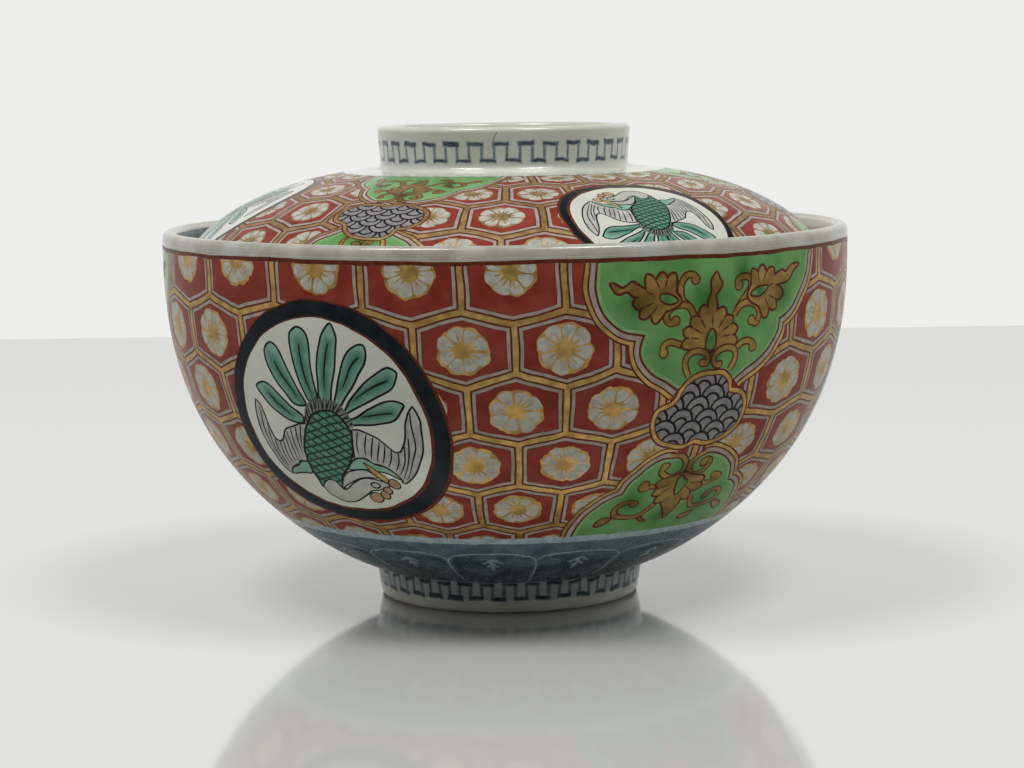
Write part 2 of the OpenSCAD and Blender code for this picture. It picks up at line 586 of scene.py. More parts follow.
def flower(spot, width, height, reach):
    """Petals on a gilt ground, with a gilt middle: reach is how far the petals cover the ground."""
    tilt = math.radians(RNG.uniform(-FLOWER_TILT, FLOWER_TILT))
    nudge = np.array([RNG.uniform(-most, most) for most in FLOWER_SHIFT])
    stretch = np.array([width, height]) * RNG.uniform(*FLOWER_SIZE)
    along, swing = np.array(PETAL).T

    def drawn(degrees, along):
        return polar(tilt + np.radians(degrees), along) * stretch + nudge

    ground = np.arange(0, 360, GROUND_STEP)
    waves = GROUND_R + GROUND_WAVE * np.abs(np.sin(np.radians(PETALS / 2 * ground))) ** GROUND_POWER
    spot.fill("gold", drawn(ground, waves * [RNG.uniform(*GROUND_VARY) for _ in ground]))
    for k in range(PETALS):
        turn = 360 / PETALS * (k + 0.5) + RNG.uniform(-PETAL_SWING, PETAL_SWING)
        size = reach * RNG.uniform(*PETAL_SIZE)
        outline = drawn(turn + swing * RNG.uniform(*PETAL_WIDTH), along * size)
        spot.fill("petal", smooth(outline, steps=2))
        if RNG.random() < VEIN_CHANCE:
            slant = turn + RNG.uniform(-VEIN_SLANT, VEIN_SLANT)
            vein = np.linspace(VEIN_START, RNG.uniform(*VEIN_END), 3)
            spot.stroke("gold", drawn(np.full(3, slant), vein), VEIN_LINE, taper=True)
    middle = np.arange(0, 360, MIDDLE_STEP)
    spot.fill("gold", drawn(middle, np.array([RNG.uniform(*MIDDLE_SIZE) for _ in middle])))


def kikko(sheet, lines, lean, drifts, hidden):
    """Rows of cells between zigzag lines, each given by the walks of its upper and lower corners."""
    pitch = 360 / CELLS
    for row, (above, below) in enumerate(zip(lines, lines[1:])):
        walk = (above[1] + below[0]) / 2
        radius = float(sheet.turned.radius(max(walk, 0)))
        half_w = radius * math.radians(pitch / 2)
        top, low = walk - np.array(above), walk - np.array(below)[::-1]
        for column in range(CELLS):
            spot = Cell(sheet, pitch * (column + 0.5 * (row % 2)), walk, radius, lean, drifts)
            across, level = spot.place([(0, 0)])[0]
            if hidden(math.degrees(across / sheet.reference), level):
                continue
            for paint, inset in CELL_LINES:
                spot.fill(paint, hexagon(half_w, top, low, inset))
            width = FLOWER_R * (radius / RIM_R) ** 0.5
            reach = BOLD_GILT if walk > GILT_WALK else FINE_GILT
            height = FLOWER_FLAT * width * min(1, max(FLOWER_LOW, (top[0] - low[0]) / FULL_CELL))
            flower(spot, width, height, reach)


# Phoenix roundel

DISCS = (
    ("brown", (0.05, -0.5), 20.1),
    ("navy", (-0.1, -0.4), 19.75),
    ("brown", (-0.15, -0.5), 17.45),
    ("field", (-0.3, -0.35), 17.05),
)
DISC_STEPS = 64
FEATHERS = (
    (((-4.6, 0.9), (-6.8, 2.5), (-8.7, 4.2), (-10.1, 5.5), (-11.6, 6), (-13, 5.6), (-13.4, 5),
      (-12.5, 3.6), (-11.4, 2.3), (-10, 1.1), (-8.2, 0.1), (-5.9, -0.5), (-4.6, -0.3)),
     ((-10.8, 4.1), (-9.3, 2.5), (-6.8, 0.9))),
    (((-3.6, 2.5), (-5.7, 2.8), (-7.3, 4.6), (-8.9, 6.7), (-9.9, 8.7), (-10.3, 10.5), (-10, 11.7),
      (-8.8, 12.5), (-7.5, 11.7), (-6.6, 10), (-5.9, 8.2), (-4.8, 5.9), (-3.5, 3.4)),
     ((-8.4, 9.45), (-7.3, 7.3), (-5, 4.1))),
    (((-2.5, 3.2), (-3.2, 4.8), (-4.1, 7.3), (-4.7, 10), (-4.8, 12.5), (-4.6, 14.1), (-4.1, 14.8),
      (-3.2, 15.3), (-2.2, 14.9), (-1.5, 13.9), (-1.25, 11.8), (-1.3, 9.6), (-1.2, 6.8), (-0.9, 3.6)),
     ((-3, 12.5), (-3.1, 10.5), (-2.8, 7.7), (-1.9, 4.8))),
    (((-0.5, 3.8), (-0.3, 6.8), (0.1, 10.7), (0.8, 13), (1.7, 14.7), (2.85, 16.05), (3.5, 14.9),
      (3.9, 13.4), (3.5, 10.7), (2.85, 8), (2.05, 5.7), (1.1, 3.2)),
     ((2.4, 12.75), (1.6, 10.5), (0.8, 5.9))),
    (((1.9, 3.2), (2.85, 5.2), (3.9, 8.2), (5, 10.5), (6, 12), (7.4, 12.8), (8.5, 12.75), (8.8, 11.7),
      (8.3, 10), (7.1, 8.1), (5.7, 6.1), (3.6, 3.6), (3, 3)),
     ((7.4, 10.8), (6, 9.2), (4.1, 5.9))),
    (((3.9, 2.7), (5.2, 4.3), (7.5, 6.5), (9.8, 8.3), (11.2, 9.1), (12.2, 9.3), (13.3, 8.65), (13.1, 7.6),
      (12.1, 6.1), (10, 4.8), (7.3, 3.3), (5, 2.3), (3.2, 1.6)),
     ((11.6, 7.4), (9.6, 6.4), (5.7, 4.1))),
    (((3.6, 0.5), (5.5, 1.1), (7.5, 2.3), (10, 3.6), (11.8, 4.05), (13.3, 3.75), (13.7, 3.3), (13.2, 2.5),
      (12.3, 1.25), (10.9, 0.35), (8.7, -0.1), (5.7, -0.2), (4.1, -0.3)),
     ((11.6, 1.9), (9.1, 1.6), (6.4, 1.1))),
)
COLLAR = (
    (-4.2, 0.3), (-3.6, 2.2), (-2.2, 3.4), (-0.3, 3.9), (1.6, 3.7), (3.2, 2.6), (4.1, 1), (4.4, -0.4),
)
COLLAR_FOOT = ((4.2, -1.2), (2.2, 1.2), (0.3, 1.9), (-2.4, 1.2), (-4.4, -0.6))
COLLAR_STROKES = 26
COLLAR_SPAN = (0.02, 0.98)
COLLAR_REACH = (-0.05, 0.5, 1.12)
BODY = (
    (0.3, 1.9), (2.2, 1.2), (3.65, -1.05), (3.76, -2.4), (3.4, -4), (2.7, -6.06), (1.6, -7.9),
    (0.23, -9.25), (-0.7, -10.6), (-1.1, -12), (-1.6, -13.2), (-5.35, -13), (-5.8, -11.6), (-6.3, -9.9),
    (-6.56, -8.1), (-6.4, -6.06), (-5.7, -3.8), (-4.8, -1.7), (-3.6, -0.1), (-2.4, 1.2),
)
NECK = (
    (-5.35, -13), (-4.8, -14.3), (-3.6, -15.4), (-2.05, -16), (-0.45, -15.85), (1.1, -14.9), (2.6, -13.7),
    (3.65, -12.9), (5, -12.8), (6.6, -12.2), (7.2, -11.75), (6.7, -11.2), (5.7, -10.7), (4.1, -10.4),
    (2.5, -10.6), (0.9, -11.5), (-0.45, -12.7), (-1.6, -13.2), (-2.3, -11.75), (-3.2, -11.3),
    (-4.1, -11.4), (-5, -12.2),
)
CREST = (
    (-1.6, -12.9), (-1.1, -11.75), (-0.45, -10.4), (0.7, -9.25), (2.3, -8.8), (4.1, -8.8), (5, -9.4),
    (5.7, -10.2), (4.3, -10.2), (2.3, -10.5), (0.5, -11.4),
)
COMB = (
    (4.2, -7.3), (5.2, -8.1), (6.4, -9.25), (7.2, -10.3), (7.1, -11.3), (6.15, -10.6), (5.2, -9.5),
    (4.6, -8.3),
)
WATTLES = ((8.1, -11.3, 1), (6.5, -12.9, 0.75), (5.7, -13.9, 0.85), (3.9, -14.4, 1.15))
EYE = (4.74, -11.75, 0.8)
EYE_SQUASH = 0.7
DOT_STEPS = 14
HEAD = (("plume", CREST, 0.26), ("plume", NECK, 0.28), ("yellow", COMB, 0.24))
RIGHT_WING = (
    ((4, -1.2), (5.2, -1.1), (6.6, -1.6), (8.1, -2.5), (9.3, -3.8), (10, -4.7), (10.7, -5.04),
     (11.4, -4.7), (12.2, -3.3), (12.76, -1.7), (13.2, -0.1), (13.7, 1.1), (14.2, 2.3), (15, 3.3)),
    ((15, 3.3), (15.4, 2.3), (15.7, 0.7), (15.6, -0.1), (15.4, -1.96), (14.9, -4.2), (14.1, -6.3),
     (13, -8.3), (11.6, -9.9), (10.25, -10.96), (9.6, -10.7)),
    ((9.6, -10.7), (9.8, -10.2), (8.66, -8.6), (7.3, -7.5), (5.9, -7.3), (5, -6.5), (3.65, -6.4),
     (2.7, -6.7)),
)
RIGHT_BARS = (
    ((4.9, -1.5), (4.2, -4), (3.9, -6.1)),
    ((6.3, -1.7), (5.6, -3.9), (5.2, -5.8)),
    ((7.3, -2.3), (6.5, -4.7), (5.9, -6.7)),
    ((8.2, -3.1), (7.4, -5.2), (6.8, -7)),
    ((8.9, -3.8), (8.3, -5.5), (7.7, -7)),
    ((9.7, -4.6), (9.1, -6.4), (8.3, -7.9)),
    ((10.7, -5.1), (10.2, -7), (9.3, -8.6)),
    ((12.1, -3.9), (11.4, -6.5), (9.8, -9.25)),
    ((13, -2.4), (12.3, -5.8), (10.25, -9.9)),
    ((14.4, 2.2), (14.2, 0.1), (13.7, -4.2), (12.1, -7.7), (10.7, -10.2)),
)
RIGHT_THIGH = (
    (1.1, -8.6), (1.8, -7.7), (2.96, -6.7), (4.1, -6.4), (5, -6.7), (6.15, -7.4), (7.7, -7.8), (9.1, -9),
    (10, -10.2), (8.9, -9.9), (7.3, -9), (4.3, -8.7), (2.3, -8.7),
)
LEFT_WING = (
    ((-4.1, -0.6), (-5.7, -0.7), (-7.06, -1.2), (-8.4, -1.7), (-9.3, -2.4), (-10.25, -3.8), (-11.2, -4.3),
     (-12.1, -3.8), (-12.6, -2.4), (-13, -0.4), (-13.1, 0.45), (-13.4, 1.8), (-14.3, 2.85)),
    ((-14.3, 2.85), (-14.9, 1.6), (-15.1, -0.1), (-15.1, -2.2), (-14.7, -4.5), (-13.9, -6.7), (-13, -8.8),
     (-11.8, -10.4), (-11.2, -10.8)),
    ((-11.2, -10.8), (-10.9, -9.7), (-9.6, -8.8), (-8.65, -8.45), (-8.1, -7.8), (-6.6, -7.5),
     (-5.7, -3.8)),
)
LEFT_BARS = (
    ((-5.6, -0.9), (-6.2, -3.2), (-6.7, -5.4)),
    ((-6.8, -1.3), (-7, -4), (-7.1, -7)),
    ((-7.8, -1.7), (-8, -4.5), (-7.9, -7.3)),
    ((-8.8, -2.3), (-8.8, -5), (-8.6, -7.9)),
    ((-9.6, -3.1), (-9.6, -5.6), (-9.3, -8.3)),
    ((-10.4, -4), (-10.4, -6.4), (-10, -8.7)),
    ((-11.2, -4.4), (-11.2, -7), (-10.6, -9.2)),
    ((-12.2, -3.6), (-12.1, -6.6), (-11.2, -9.9)),
    ((-13.1, -1.2), (-13.1, -4.6), (-12.4, -7.8), (-11.5, -10)),
    ((-13.9, 1.7), (-14.1, -1.8), (-13.7, -5), (-12.5, -8.6)),
)
LEFT_THIGH = (
    (-6.56, -7.5), (-7.5, -7.7), (-8.4, -8.2), (-9.1, -8.8), (-10.5, -9.4), (-11.2, -10.3),
    (-10.7, -10.8), (-9.6, -10.4), (-8, -10.1), (-6.56, -10.05),
)
# Widths of the drawn lines in mm
FEATHER_LINE, RIB_LINE = 0.36, 0.32
WING_LINE, BAR_LINE = 0.32, 0.27
BODY_LINE = 0.4
COLLAR_LINE = 0.25
WATTLE_LINE = 0.24
# Where the deep paint along a feather's rib ends, against the rib, and how far it spreads in mm
RIB_END, RIB_POOL = 0.8, 0.85
# The crossed lines on the body: their slants in degrees and their spacing
HATCHES = ((18, 1.22), (-42, 1.3))
HATCH_LINE = 0.34
HATCH_INSET = 0.2
HATCH_ACROSS = 9
HATCH_ALONG = 8


def feather(spot, outline, rib):
    spot.outlined("feather", smooth(outline, steps=3), width=FEATHER_LINE)
    rib = smooth(rib, closed=False)
    spot.stroke("ink", rib, RIB_LINE, taper=True)
    spot.pool(np.vstack([rib, [rib[-1] * RIB_END]]), RIB_POOL)


def wing(spot, edges, bars, thigh):
    """A barred wing, whose tip turns up, above a green thigh."""
    spot.outlined("feather", smooth(thigh, steps=3))
    spot.outlined("wing", scalloped(*edges), width=WING_LINE)
    for bar in bars:
        spot.stroke("ink", smooth(bar, closed=False), BAR_LINE, taper=True)


def hatching(spot, outline):
    """The crossed lines that make a scaled body."""
    clip = grown(outline, -HATCH_INSET)
    middle = outline.mean(0)
    for slant, spacing in HATCHES:
        along = np.array([math.cos(math.radians(slant)), math.sin(math.radians(slant))])
        across = np.array([-along[1], along[0]])
        for offset in np.arange(-HATCH_ACROSS, HATCH_ACROSS, spacing):
            reach = np.linspace(-HATCH_ALONG, HATCH_ALONG, 5)[:, None]
            spot.stroke("hatch", middle + across * offset + along * reach, HATCH_LINE, clip)


def body(spot):
    outline = smooth(BODY, steps=3)
    inner = smooth(COLLAR_FOOT, closed=False)
    outer = smooth(COLLAR, closed=False)
    spot.fill("ruff", np.vstack([outer, inner]))
    for t in np.linspace(*COLLAR_SPAN, COLLAR_STROKES):
        near_end, far_end = (line[int(t * (len(line) - 1))] for line in (inner[::-1], outer))
        steps = np.array(COLLAR_REACH)[:, None]
        spot.stroke("ink", near_end * (1 - steps) + far_end * steps, COLLAR_LINE, taper=True)
    spot.outlined("body", outline, width=BODY_LINE)
    hatching(spot, outline)


def head(spot):
    for paint, outline, width in HEAD:
        spot.outlined(paint, smooth(outline, steps=3), width=width)
    for wattle in WATTLES:
        spot.outlined("orange", circle(*wattle, DOT_STEPS), width=WATTLE_LINE)
    spot.outlined("wing", circle(*EYE, DOT_STEPS, EYE_SQUASH))


def medallion(spot, opening=1.0):
    """A phoenix in a dark ring, whose opening may be wider than the usual."""
    for paint, middle, radius in DISCS[:2]:
        spot.fill(paint, circle(*middle, radius, DISC_STEPS))
    for paint, middle, radius in DISCS[2:]:
        spot.fill(paint, circle(*middle, radius * opening, DISC_STEPS))
    wing(spot, RIGHT_WING, RIGHT_BARS, RIGHT_THIGH)
    wing(spot, LEFT_WING, LEFT_BARS, LEFT_THIGH)
    for outline, rib in FEATHERS:
        feather(spot, outline, rib)
    body(spot)
    head(spot)


# Green panels with gilt scrolls, and the wave cartouche between them

EDGING = (("brown", 2.2), ("gold", 1.92), ("brown", 1.36), ("pale", 1.08), ("brown", 0.36))
THIN_EDGE = 0.5
# Where the green lies deep, and how far round each place
RIM_POOLS = (((-1, 17), 3.0), ((-13, 17), 2.4), ((15, 17), 2.4), ((0, 8), 2.4), ((6, 21), 2.0))
FOOT_POOLS = (((1, -12), 2.6), ((-7, -18), 2.6), ((8, -19), 2.6), ((0, -22), 2.0))
RIM_PANEL = (
    ((-19.4, 25.5), (-19.5, 23.2), (-19.9, 20.5), (-19.7, 18.8), (-19, 16.9), (-17.9, 15.2),
     (-16.4, 13.8), (-14.6, 12.9), (-11.8, 12.3)),
    ((-11.8, 12.3), (-12.2, 11.2), (-12.3, 9.9), (-11.9, 8.6), (-10.8, 7.1), (-9.2, 5.9), (-7.3, 4.8),
     (-5.2, 3.4)),
    ((5.6, 4.2), (6.2, 4.7), (8.2, 5.9), (9.7, 6.7), (11.2, 7.8), (12.6, 8.9), (13.7, 10.1), (14.5, 11.5),
     (14.6, 13.2)),
    ((14.6, 13.2), (15.2, 13.4), (17.2, 14.4), (19, 16), (20.6, 17.8), (21.6, 19.5), (22.3, 21),
     (22.7, 25.5)),
)
FOOT_PANEL = (
    ((-13.1, -27), (-13.4, -24.8), (-13.6, -23), (-13.4, -21.2), (-12.8, -19.3), (-11.8, -17.7),
     (-10.5, -16.6), (-9.1, -16)),
    ((-9.1, -16), (-8.9, -15), (-8.55, -13.5), (-7.6, -11.9), (-6.3, -10.4), (-4.8, -9.4), (-3.6, -9.1),
     (-2.4, -9)),
    ((3.2, -9), (5.6, -9), (7.2, -9.6), (9.1, -10.6), (10.5, -12), (11.35, -13.7), (11.9, -15.2),
     (12.4, -15.6)),
    ((12.4, -15.6), (13.8, -16), (15, -17.3), (15.7, -19.1), (16.2, -21.5), (16.3, -23.8), (16.1, -27)),
)
CARTOUCHE = (
    ((0.5, 6.3), (3, 6.1), (4.9, 5), (5.6, 3.9), (5.6, 2.95)),
    ((5.6, 2.95), (7.7, 2.5), (9.1, 1.2), (9.77, -0.7), (9.46, -3.1), (8.4, -4.85), (6.5, -6.3),
     (4.2, -7.2), (2, -7.2), (0.27, -6.7)),
    ((0.27, -6.7), (-1.7, -7.4), (-3.9, -7.2), (-6.2, -6.4), (-8, -4.85), (-8.9, -2.7), (-8.8, -0.4),
     (-7.9, 0.8), (-6.1, 1.5), (-5.5, 2.1)),
    ((-5.5, 2.1), (-5.15, 3.2), (-4.1, 4.6), (-2.4, 5.6), (-0.6, 6.2), (0.5, 6.3)),
)
CARTOUCHE_LINES = (("brown", 0), ("gold", 0.3), ("brown", 0.92), ("slate", 1.16))
# The scales: paint, fall and radius of their arcs, the first one's top, and the steps to the others
SCALE_ARCS = (("ink", 2.4, 2.42), ("slate", 2.4, 2.0), ("ink", 3.0, 1.54), ("slate", 3.0, 1.12))
SCALE_FIRST = np.array([1.45, -0.25])
SCALE_STEPS = 16
SCALE_ALONG = np.array([4.85, -0.4])
SCALE_DOWN = np.array([2.2, -2.25])
SCALE_COLUMNS = range(-4, 5)
SCALE_ROWS = range(-5, 4)
SCALE_SIDE = 11.5
SCALE_LOW = -7.5
SCALE_HIGH = 8.5

RIM_VINES = (
    ((-3.4, 14.8), (-4.2, 16), (-5.6, 17.2), (-6.1, 18.6), (-5.9, 20), (-4.9, 21), (-3.7, 20.9),
     (-3.4, 20.2)),
    ((-3.5, 15), (-4.4, 16.2), (-5.8, 16.6), (-7.4, 16.3), (-8.4, 15.4), (-8.4, 14.4), (-7.6, 13.7),
     (-6.8, 14.1)),
    ((4.6, 15.3), (6, 16.8), (7.4, 18.2), (7.6, 19.4), (6.9, 20.1), (5.6, 20.2), (4.8, 19.7), (5.2, 19)),
    ((4.2, 14.4), (5.3, 15.8), (7, 16.3), (8.6, 15.8), (9.6, 14.6), (9.6, 13.5), (8.8, 12.9),
     (7.9, 13.4)),
    ((-5.2, 10.2), (-6.4, 10.7), (-7.6, 10.8), (-8.6, 10.2), (-8.4, 9.3)),
    ((5.3, 9.2), (6.2, 9.9), (7.4, 10.2), (8.6, 9.9), (8.8, 9.2)),
)
RIM_ARCHES = (
    ((-3.6, 5.2), (-4.2, 6.4), (-4.4, 7.6), (-3.9, 8.7), (-2.6, 9.3), (-1.2, 9), (-0.4, 8.1), (-0.7, 7.2),
     (-1.4, 7.3)),
    ((4.4, 5.8), (5, 7), (5.1, 8.2), (4.4, 9.1), (3, 9.4), (1.6, 9), (0.8, 8), (1.1, 7), (2, 6.9)),
)
RIM_PALMETTES = (
    ((-8.9, 17.6),
     ((-7.1, 21.5), (-9.2, 21.8), (-11.8, 21.3), (-13.9, 17), (-12.8, 14.9), (-10.5, 13.9)),
     ((-8.6, 15.6), (-6.5, 16.4), (-5.8, 17.3), (-6.8, 18.8)),
     ((-9.5, 18.2), (-8.6, 18.4), (-7.4, 18.2), (-6.4, 17.3), (-7.5, 16.8), (-8.8, 16.9), (-9.5, 17.4)),
     ((-12.4, 19.4), (-13.4, 20), (-14.2, 20.4), (-14.9, 19.9), (-15.6, 19.6), (-16.4, 20), (-17, 20.3),
      (-17.8, 20.2), (-17.3, 19.5), (-16.9, 18.9), (-16, 18.6), (-15, 18.8), (-14.4, 18.5), (-13.7, 18))),
    ((9.6, 17.7),
     ((8, 21.2), (10.4, 21.8), (12.8, 21.3), (15.4, 17), (13.8, 14.8), (11.4, 13.5)),
     ((9.4, 15.3), (7.5, 16.4), (6.9, 17.4), (7.6, 18.9)),
     ((7.6, 17.4), (8.6, 18.2), (10.2, 18.5), (11.6, 18.3), (10.6, 17.4), (9.2, 16.9)),
     ((13.3, 20.3), (15, 20.8), (16, 20.5), (17.6, 21.4), (19.8, 21.3), (18.4, 20.4), (17.2, 19.2),
      (16, 18.8), (14.5, 18.7))),
    ((0, 11),
     ((-5.4, 10.3), (-5.3, 12.6), (-3.9, 14.6), (-2.1, 16.3), (2.3, 15.8), (4, 14.2), (5.1, 12.5),
      (5.2, 10.3)),
     ((2.2, 9.4), (0, 8.9), (-2.2, 9.4)),
     ((0, 9.1), (-0.9, 9.6), (-0.9, 11), (-0.4, 12.3), (0, 12.6), (0.5, 12.2), (0.9, 11), (0.8, 9.7)),
     ((-1, 16.2), (-0.8, 17.2), (-0.4, 18.3), (-0.6, 19.6), (-0.4, 20.4), (0.5, 21.4), (1.2, 20.3),
      (1.7, 19.3), (1.1, 18.2), (0.6, 17.4), (1, 16.2))),
)
FOOT_VINES = (
    ((-3.4, -8.5), (-1.5, -8.6), (-0.3, -9.3), (0.4, -10.6), (0, -11.9), (-1.5, -12.9), (-2.9, -12.6),
     (-3.9, -11.6), (-3.6, -10.6)),
    ((3.7, -8.5), (2.3, -9.1), (1.3, -10.3), (1.6, -11.8), (2.5, -12.7), (3.9, -12.5), (5.2, -11.4),
     (5.3, -10.3), (4.4, -9.9), (4, -10.5)),
    ((-3.4, -14.6), (-4.8, -14.6), (-6, -15), (-6.4, -14.2), (-6, -13.9)),
    ((5.6, -15), (7, -15.2), (8.2, -14.6), (9, -14.2), (8.4, -13.6), (7.7, -13.6)),
    ((-2.2, -18.6), (-2.9, -20), (-4.3, -21.5), (-6.7, -21.5), (-8.3, -20.8), (-9, -19.3), (-8.3, -18.2),
     (-6.9, -17.8), (-6, -18.4)),
    ((4.6, -17.9), (5.2, -19.1), (6, -20.3), (7.9, -20.5), (10, -20.3), (11.2, -19.3), (11.5, -17.9),
     (10.3, -17.1), (8.9, -17.5), (8.2, -18.3)),
)
FOOT_LEAVES = (
    ((-8.6, -21.2), (-10.5, -21.3), (-10.9, -23.1), (-10, -23.5), (-9, -22.4)),
    ((-3.4, -21.6), (-2.7, -22.4), (-1.7, -22.9), (-2.9, -22.9), (-3.9, -22.2)),
    ((11, -20.3), (12.6, -20.3), (14.1, -21.5), (13.1, -22.4), (11.9, -21.7)),
    ((7.5, -21.7), (5.6, -22.2), (4.6, -22.9), (5.6, -23.6), (7.2, -22.9)),
)
FOOT_PALMETTE = (
    (0.8, -13.9),
    ((-3.9, -14.3), (-3.6, -16.5), (-2.2, -18.6), (3.9, -18.4), (5.7, -16), (5.6, -14.2)),
    ((2.6, -12.6), (0.8, -12), (-1, -12.6)),
    ((0, -13.6), (0.6, -12.7), (1.6, -13.6), (2.3, -13.9), (1.9, -15.6), (1, -17.1), (0.3, -15.6)),
    ((-1, -18.6), (-0.1, -20), (0.6, -21.5), (1.45, -22.9), (2.2, -21.5), (2.6, -20), (2.7, -18.6)),
)
# Widths of a vine, its bud and their dark edges, in mm
VINE_WIDTH, VINE_EDGE = 0.74, 0.54
BUD_R = 0.66
ARCH_BUD_R = 0.5
BUD_EDGE = 0.26
BUD_STEPS = 12
LEAF_LINE = 0.4
# A palmette's shares of the length of its petals
FAN_SIDE = 0.17
FAN_SHOULDER = 0.87
NOTCH = 0.76
SPIKE_ROOT = 0.55
NOTCH_STROKE = (0.95, 0.7, 0.5)
# Its lines and where its paint pools, in mm
NOTCH_LINE = 0.3
GILT_EDGE = 0.2
DROP_LINE, DROP_POOL = 0.36, 1.1


def panel(spot, pieces, middle):
    """A green panel with lobed sides, lines of edging outside it and deeper paint in its middle."""
    sides = [smooth(piece, closed=False) for piece in pieces]
    for paint, width in EDGING:
        for side in sides:
            spot.stroke(paint, side, 2 * width)
    outline = np.vstack(sides)
    spot.fill("green_thin", outline)
    spot.fill("green", grown(outline, -THIN_EDGE))
    for place, reach in middle:
        spot.pool([place], reach)


def vine(spot, points, bud=BUD_R):
    curve = smooth(points, closed=False)
    spot.fill("brown", circle(*curve[-1], bud + BUD_EDGE, BUD_STEPS))
    spot.stroke("brown", curve, VINE_WIDTH + VINE_EDGE)
    spot.stroke("scroll", curve, VINE_WIDTH)
    spot.fill("scroll", circle(*curve[-1], bud, BUD_STEPS))


def leaf(spot, points):
    spot.outlined("scroll", smooth(points, steps=3), "brown", LEAF_LINE)


def fan(base, tips, notches, back):
    """The scalloped outline of petals that spread from a base and close round its back."""
    starts, ends = [back[-1], *notches], [*notches, back[0]]
    pieces = []
    for start, tip, end in zip(starts, tips, ends):
        along = tip - base
        across = np.array([-along[1], along[0]])
        side = np.sign(across @ (np.array(start) - base)) * FAN_SIDE * across
        shoulder = base + FAN_SHOULDER * along
        pieces.append([start, shoulder + side, tip, shoulder - side, end])
    return scalloped(*pieces, back)


def palmette(spot, base, tips, back, hole, spike):
    """A gilt fan of petals with a bare drop at its base and a spike that grows out of it."""
    base, tips, spike = (np.array(part, float) for part in (base, tips, spike))
    notches = base + NOTCH * ((tips[1:] + tips[:-1]) / 2 - base)
    roots = base + SPIKE_ROOT * (spike[[0, -1]] - base)
    shapes = smooth(np.vstack([roots[0], spike, roots[1]]), steps=3), fan(base, tips, notches, back)
    for paint, spread in (("brown", GILT_EDGE), ("scroll", -GILT_EDGE)):
        for shape in shapes:
            spot.fill(paint, grown(shape, spread))
    for notch in notches:
        stroke = base + np.array(NOTCH_STROKE)[:, None] * (notch - base)
        spot.stroke("brown", stroke, NOTCH_LINE, taper=True)
    spot.outlined("green", smooth(hole, steps=3), "brown", DROP_LINE)
    spot.pool([np.mean(hole, axis=0)], DROP_POOL)


def cartouche(spot):
    outline = scalloped(*CARTOUCHE)
    for paint, inset in CARTOUCHE_LINES:
        clip = grown(outline, -inset)
        spot.fill(paint, clip)
    tops = [SCALE_FIRST + SCALE_ALONG * i + SCALE_DOWN * j for j in SCALE_ROWS for i in SCALE_COLUMNS]
    for x, y in sorted(tops, key=lambda top: -top[1]):
        if abs(x) < SCALE_SIDE and SCALE_LOW < y < SCALE_HIGH:
            for paint, fall, radius in SCALE_ARCS:
                spot.fill(paint, circle(x, y - fall, radius, SCALE_STEPS), clip)


def panels(spot, cartouche_spot):
    panel(spot, RIM_PANEL, RIM_POOLS)
    panel(spot, FOOT_PANEL, FOOT_POOLS)
    for points in RIM_VINES + FOOT_VINES:
        vine(spot, points)
    for points in FOOT_LEAVES:
        leaf(spot, points)
    for parts in RIM_PALMETTES + (FOOT_PALMETTE,):
        palmette(spot, *parts)
    for points in RIM_ARCHES:
        vine(spot, points, ARCH_BUD_R)
    cartouche(cartouche_spot)


# Underglaze blue

# How much a key-fret's bars lean, in mm, and how much their thickness varies
FRET_LEAN = 0.2
FRET_VARY = (0.8, 1.25)
# How far each tone of the fret spreads beyond its strokes, as colour does under glaze
FRET_HALO = 0.36
FRET_SOFT = 0.1
FRET_CORE = -0.12
SPRAY = (
    ((-1.7, -4.1), (-0.8, -3.3), (0, -2.5), (0.8, -3.2), (1.7, -4)),
    ((-1, -5.4), (-0.4, -4.8), (0, -4.2), (0.5, -4.8), (1, -5.3)),
    ((0, -2.6), (0.1, -4.6), (0, -7)),
)
SPRAY_LAYERS = (("blue", 1.1), ("blue_pale", 0.5))
SPRAY_SLIP = 0.25
LAPPET_LAYERS = (("blue_pale", 0.1), ("blue", 0.42), ("blue_dark", 0.95))
# Two places along a lappet's side: the share of its width there, and the fall below its tip in mm
LAPPET_SHOULDER = (0.97, 3.4)
LAPPET_TIP = (0.62, 0.5)


def fret(sheet, walk, rise, count, first, heavy, thin):
    """A square key pattern round a ring: heavy bars, and thin pale uprights.

    Heavy gives the thickness in mm of the bars towards the rim and of those away from it, and thin
    gives that of the uprights.
    """
    radius = float(sheet.turned.radius(walk))
    quarter = math.pi * radius / count / 2
    bars, uprights = [], []
    for k in range(count):
        spot = Spot(sheet, first + 360 * k / count, walk, radius=radius)
        lean = RNG.uniform(-FRET_LEAN, FRET_LEAN)
        near_bar, far_bar = (thick * RNG.uniform(*FRET_VARY) for thick in heavy)
        bars += [
            (spot, (-quarter, rise / 2 + lean), (quarter, rise / 2), near_bar),
            (spot, (quarter, -rise / 2), (3 * quarter, -rise / 2 + lean), far_bar),
        ]
        uprights += [
            (spot, (quarter, rise / 2), (quarter, -rise / 2), thin),
            (spot, (-quarter, rise / 2 + lean), (-quarter, -rise / 2), thin),
        ]
    every = bars + uprights
    layers = (("fret_halo", every, FRET_HALO), ("fret_soft", every, FRET_SOFT), ("fret", bars, FRET_CORE))
    for paint, strokes, spread in layers:
        for spot, start, end, thick in strokes:
            start, end = np.array(start), np.array(end)
            over = (end - start) / np.linalg.norm(end - start) * (thick + spread) / 2
            spot.stroke(paint, np.linspace(start - over, end + over, 3), thick + spread)


